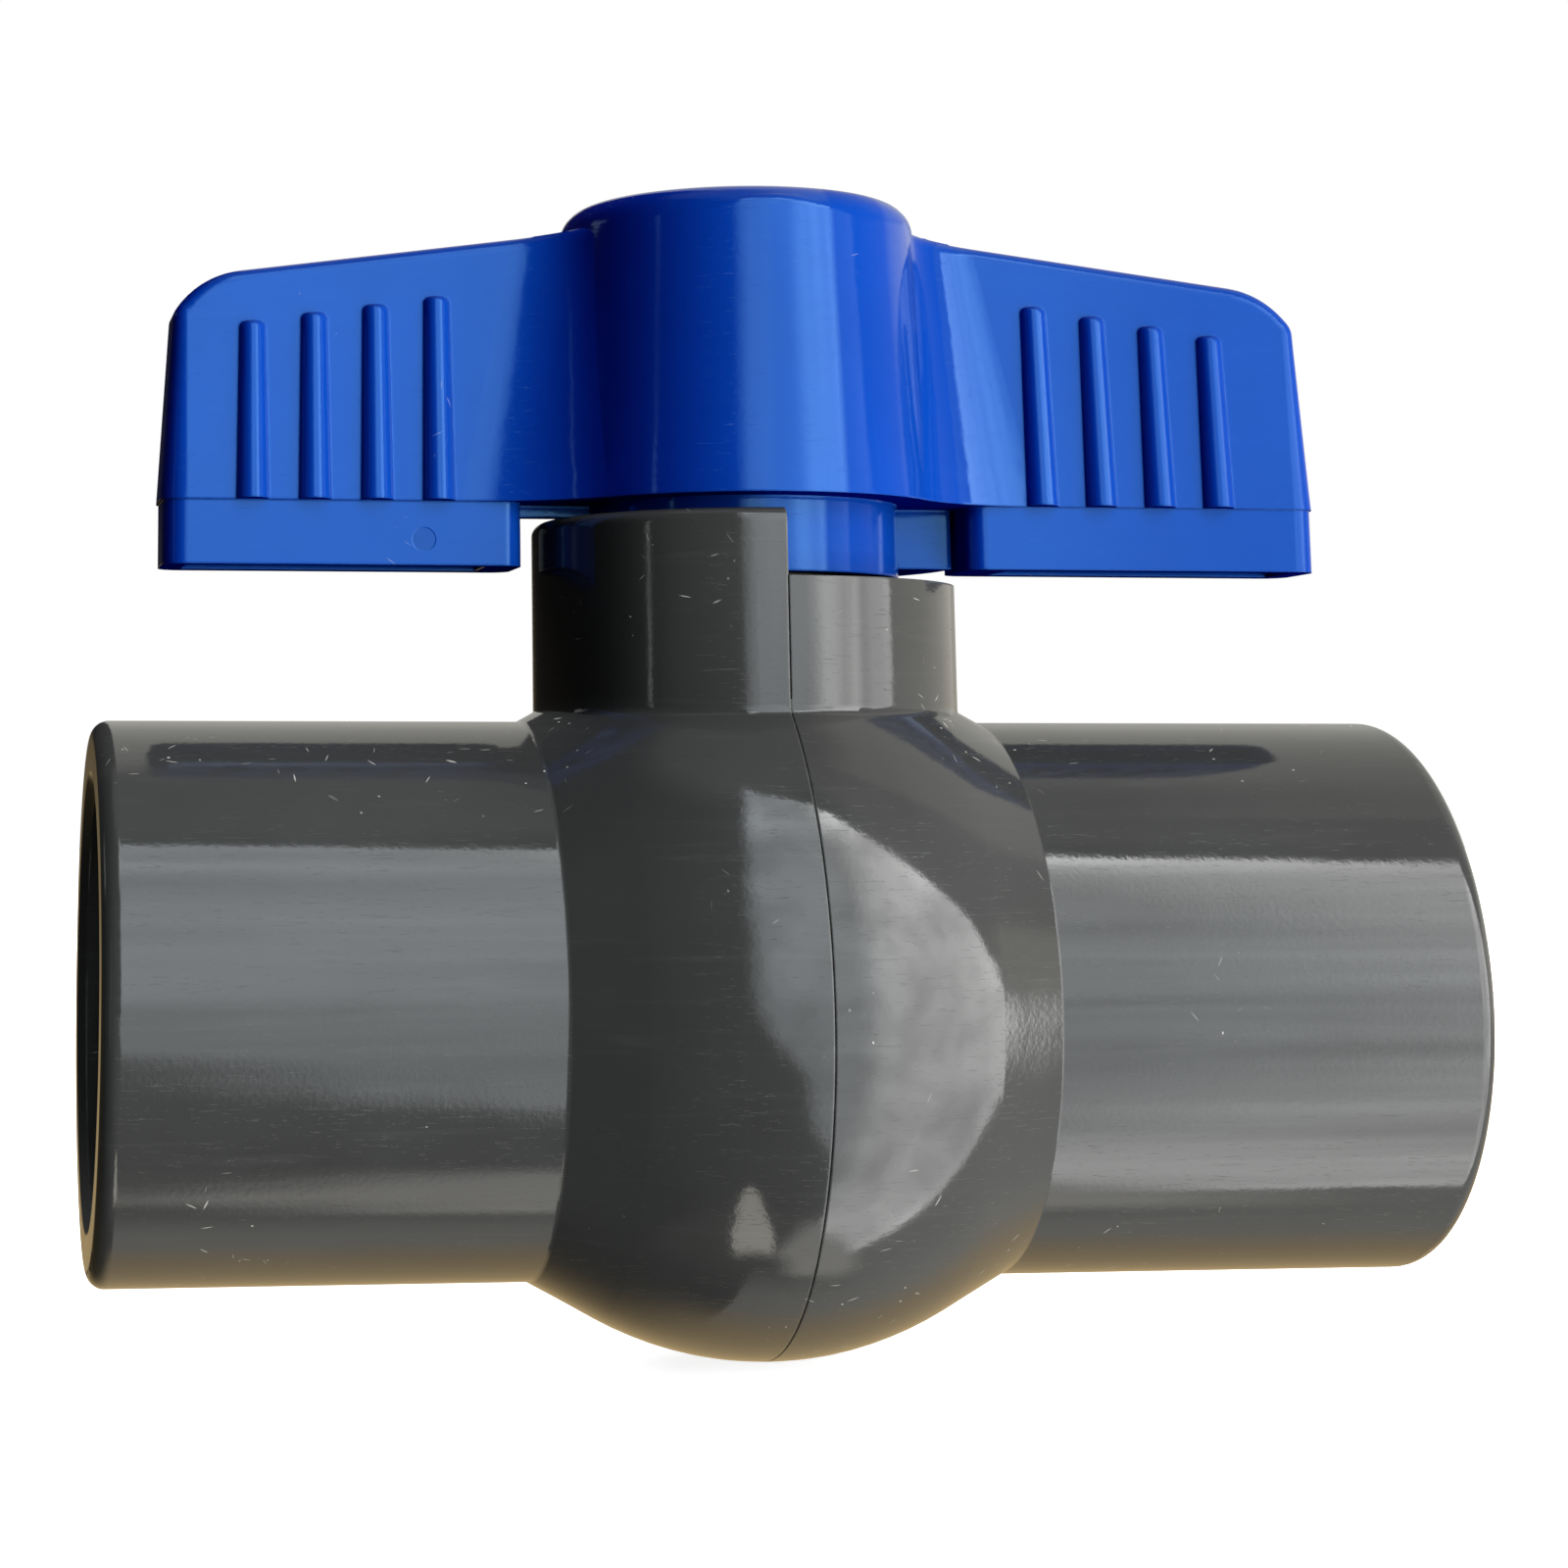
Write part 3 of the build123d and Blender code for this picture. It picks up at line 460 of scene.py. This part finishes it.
# ---- stage ----------------------------------------------------------------------------
def make_floor():
    """Pale floor under the object, seen by the camera only, so it doesn't tint reflections."""
    mesh = bpy.data.meshes.new("floor")
    corners = [(x * FLOOR_HALF, y * FLOOR_HALF, 0) for x, y in ((-1, -1), (1, -1), (1, 1), (-1, 1))]
    mesh.from_pydata(corners, [], [(0, 1, 2, 3)])
    floor = bpy.data.objects.new("floor", mesh)
    floor.location.z = CAD_LOW.z - FLOOR_BELOW
    bpy.context.scene.collection.objects.link(floor)
    material, n = new_material("pale_floor")
    place = n.add("ShaderNodeTexCoord").outputs["Object"]
    tone = n.mix(n.noise(place, 3.0), rgb(0.86, 0.86, 0.86), rgb(0.90, 0.90, 0.90))
    shader = n.add("ShaderNodeBsdfPrincipled")
    n.set(shader, Base_Color=tone, Roughness=0.9, Emission_Color=tone, Emission_Strength=0.95)
    n.set(n.add("ShaderNodeOutputMaterial"), Surface=shader.outputs["BSDF"])
    material.cycles.emission_sampling = "NONE"
    mesh.materials.append(material)
    floor.visible_glossy = False
    floor.visible_diffuse = False
    floor.visible_shadow = False


def inside(n, value, low, high, soft):
    """One between low and high, falling to zero over soft at each side."""
    rise = n.ramp(n.math("SUBTRACT", value, low), -soft, soft)
    fall = n.ramp(n.math("SUBTRACT", high, value), -soft, soft)
    return n.math("MULTIPLY", rise, fall)


def window_light(n, direction, azimuth, elevation):
    """Mask and brightness of the cloudy window, front right. A person in front hides its left edge."""
    left = n.curve(elevation, WINDOW_LEFT, -90, 90, -90, 90)
    right = n.curve(elevation, WINDOW_RIGHT, -90, 90, -90, 90)
    wobble = n.math("MULTIPLY_ADD", n.noise(direction, 6.0, 3.0), 5.0, -2.5)
    shifted = n.math("ADD", azimuth, wobble)
    rise = n.ramp(n.math("SUBTRACT", shifted, left), -4.0, 4.0)
    fall = n.ramp(n.math("SUBTRACT", right, azimuth), -0.8, 0.8)
    mask = n.math("MULTIPLY", rise, fall)
    mask = n.math("MULTIPLY", mask, n.ramp(elevation, WINDOW_FOOT, WINDOW_FOOT_FULL))
    level = n.ramp(shifted, WINDOW_NEAR_END, WINDOW_FAR_START, WINDOW_NEAR, WINDOW_FAR)
    level = n.math("MULTIPLY", level, n.ramp(elevation, -30.0, 30.0, 0.92, 1.25))
    clouds = n.ramp(n.noise(direction, 2.6, 6.0, 0.62, 0.5), 0.3, 0.7, 0.66, 1.30)
    rim = n.ramp(n.math("SUBTRACT", right, azimuth), 9.0, 1.0, 1.0, 1.25)
    level = n.math("MULTIPLY", n.math("MULTIPLY", level, clouds), rim)
    level = n.math("MULTIPLY", level, n.ramp(elevation, 48.0, 60.0, 1.0, 1.35))
    return mask, level


def make_world():
    """White to the camera. To the object: a cloudy window, a dark person, a dim room, a brown table."""
    world = bpy.data.worlds.new("studio")
    bpy.context.scene.world = world
    world.use_nodes = True
    n = Nodes(world.node_tree)
    direction = n.add("ShaderNodeTexCoord").outputs["Generated"]
    split = n.add("ShaderNodeSeparateXYZ")
    n.link(direction, split.inputs[0])
    x, y, z = split.outputs
    azimuth = n.math("DEGREES", n.math("ARCTAN2", x, n.math("MULTIPLY", y, -1.0)))
    elevation = n.math("DEGREES", n.math("ARCSINE", z))

    beyond = n.math("MULTIPLY_ADD", elevation, 0.7, azimuth)
    right_room = n.mix(n.ramp(beyond, 111.0, 117.0), rgb(0.38, 0.38, 0.36), rgb(0.66, 0.65, 0.60))
    right_room = n.mix(n.ramp(elevation, 12.0, 22.0), rgb(0.53, 0.52, 0.48), right_room)
    room = n.mix(n.ramp(azimuth, 30.0, 50.0), rgb(0.012, 0.012, 0.012), right_room)
    wall = inside(n, azimuth, *WALL_AZIMUTHS, 4.0)
    wall = n.math("MULTIPLY", wall, inside(n, elevation, *WALL_ELEVATIONS, 3.0))
    room = n.mix(wall, room, rgb(0.98, 0.94, 0.84))
    behind = n.math("MULTIPLY", n.ramp(y, 0.25, 0.6), n.ramp(z, 0.1, -0.15))
    table = n.mix(n.ramp(x, -0.3, 0.1), rgb(0.05, 0.04, 0.02), rgb(0.62, 0.45, 0.22))
    room = n.mix(behind, room, table)
    room = n.mix(n.ramp(elevation, 62.0, 75.0), room, rgb(0.24, 0.24, 0.235))
    under = n.math("MULTIPLY", n.ramp(elevation, -64.0, -70.0), n.ramp(y, 0.25, -0.1))
    room = n.mix(under, room, rgb(0.09, 0.085, 0.075))

    # Bright cracks between dark things on the left.
    slit = inside(n, azimuth, *SLIT_AZIMUTHS, 0.4)
    slit = n.math("MULTIPLY", slit, inside(n, elevation, *SLIT_ELEVATIONS, 2.0))
    broken = n.ramp(inside(n, elevation, *SLIT_BREAK, 0.3), 0.0, 1.0, 1.0, 0.06)
    room = n.mix(n.math("MULTIPLY", slit, broken), room, rgb(1.1, 1.1, 1.1))
    widening = n.ramp(elevation, 13.2, 17.4, 0.0, 8.5, smooth=False)
    drop = n.math("SUBTRACT", widening, n.math("ABSOLUTE", n.math("ADD", azimuth, -DROP_AZIMUTH)))
    drop = n.math("MULTIPLY", n.ramp(drop, 0.0, 1.2), n.ramp(elevation, 24.0, 18.0))
    room = n.mix(drop, room, rgb(0.60, 0.60, 0.60))

    # Daylight under the table's edge: a faint band and a bright gap.
    band = inside(n, azimuth, *BAND_AZIMUTHS, 12.0)
    band = n.math("MULTIPLY", band, inside(n, elevation, *BAND_ELEVATIONS, 3.5))
    room = n.mix(band, room, rgb(1.35, 1.31, 1.22))
    spread = n.curve(elevation, GAP_SPREAD, -90, 90, 0, 90)
    gap = n.math("SUBTRACT", spread, n.math("ABSOLUTE", n.math("ADD", azimuth, -GAP_AZIMUTH)))
    gap = n.math("MULTIPLY", n.ramp(gap, -0.5, 2.5), n.ramp(elevation, -86.0, -80.0))
    room = n.mix(gap, room, rgb(2.4, 2.3, 2.05))

    mask, level = window_light(n, direction, azimuth, elevation)
    sky = n.mix(n.ramp(azimuth, 10.0, 40.0), rgb(0.93, 1.0, 1.05), rgb(1.0, 1.0, 0.99))
    seen_sky = n.add("ShaderNodeVectorMath", operation="SCALE")
    n.link(sky, seen_sky.inputs[0])
    n.link(level, seen_sky.inputs["Scale"])
    lit = n.mix(mask, room, seen_sky.outputs[0])

    camera_ray = n.add("ShaderNodeLightPath").outputs["Is Camera Ray"]
    surroundings = n.set(n.add("ShaderNodeBackground"), Color=lit, Strength=1.0)
    white = n.set(n.add("ShaderNodeBackground"), Color=rgb(1, 1, 1), Strength=1.0)
    both = n.add("ShaderNodeMixShader")
    n.link(camera_ray, both.inputs[0])
    n.link(surroundings.outputs[0], both.inputs[1])
    n.link(white.outputs[0], both.inputs[2])
    n.set(n.add("ShaderNodeOutputWorld"), Surface=both.outputs[0])


def make_back_light():
    """Soft light above and behind, too broad and dim to show as a reflection."""
    data = bpy.data.lights.new("back_light", "AREA")
    data.shape = "DISK"
    data.size = BACK_LIGHT_SIZE
    data.energy = BACK_LIGHT_POWER
    light = bpy.data.objects.new("back_light", data)
    light.location = BACK_LIGHT_AT
    light.rotation_mode = "QUATERNION"
    light.rotation_quaternion = (-BACK_LIGHT_AT).to_track_quat("-Z", "Y")
    light.visible_glossy = False
    bpy.context.scene.collection.objects.link(light)


def shift_at_standpoint(camera, standpoint, channel, shift):
    """Shifts the lens while the camera stands at the standpoint, and not when it is moved elsewhere."""
    curve = camera.data.driver_add(channel)
    curve.driver.type = "SUM"
    distance = curve.driver.variables.new()
    distance.type = "LOC_DIFF"
    distance.targets[0].id = camera
    distance.targets[1].id = standpoint
    for modifier in list(curve.modifiers):
        curve.modifiers.remove(modifier)
    while curve.keyframe_points:
        curve.keyframe_points.remove(curve.keyframe_points[0])
    for away, value in ((0.0, shift), (SHIFT_REACH, 0.0)):
        curve.keyframe_points.insert(away, value).interpolation = "LINEAR"
    curve.extrapolation = "CONSTANT"


def make_camera():
    """Camera in front, a little to the left, level with the top of the body."""
    azimuth, elevation = math.radians(CAMERA_AZIMUTH), math.radians(CAMERA_ELEVATION)
    back = Vector(
        (
            math.sin(azimuth) * math.cos(elevation),
            -math.cos(azimuth) * math.cos(elevation),
            math.sin(elevation),
        )
    )
    data = bpy.data.cameras.new("camera")
    data.sensor_width = SENSOR_WIDTH
    data.lens = CAMERA_LENS
    data.clip_start = CLIP_START
    data.clip_end = CLIP_END
    camera = bpy.data.objects.new("camera", data)
    roll = Matrix.Rotation(math.radians(CAMERA_ROLL), 3, "Z")
    turn = (-back).to_track_quat("-Z", "Y").to_matrix() @ roll
    camera.location = CAMERA_AT
    camera.rotation_mode = "QUATERNION"
    camera.rotation_quaternion = turn.to_quaternion()
    bpy.context.scene.collection.objects.link(camera)
    bpy.context.scene.camera = camera
    standpoint = bpy.data.objects.new("standpoint", None)
    standpoint.location = CAMERA_AT
    bpy.context.scene.collection.objects.link(standpoint)
    shift_at_standpoint(camera, standpoint, "shift_x", CAMERA_SHIFT_X)
    shift_at_standpoint(camera, standpoint, "shift_y", CAMERA_SHIFT_Y)


bpy.context.scene.view_settings.view_transform = "Standard"
give_materials()
make_floor()
make_world()
make_back_light()
make_camera()
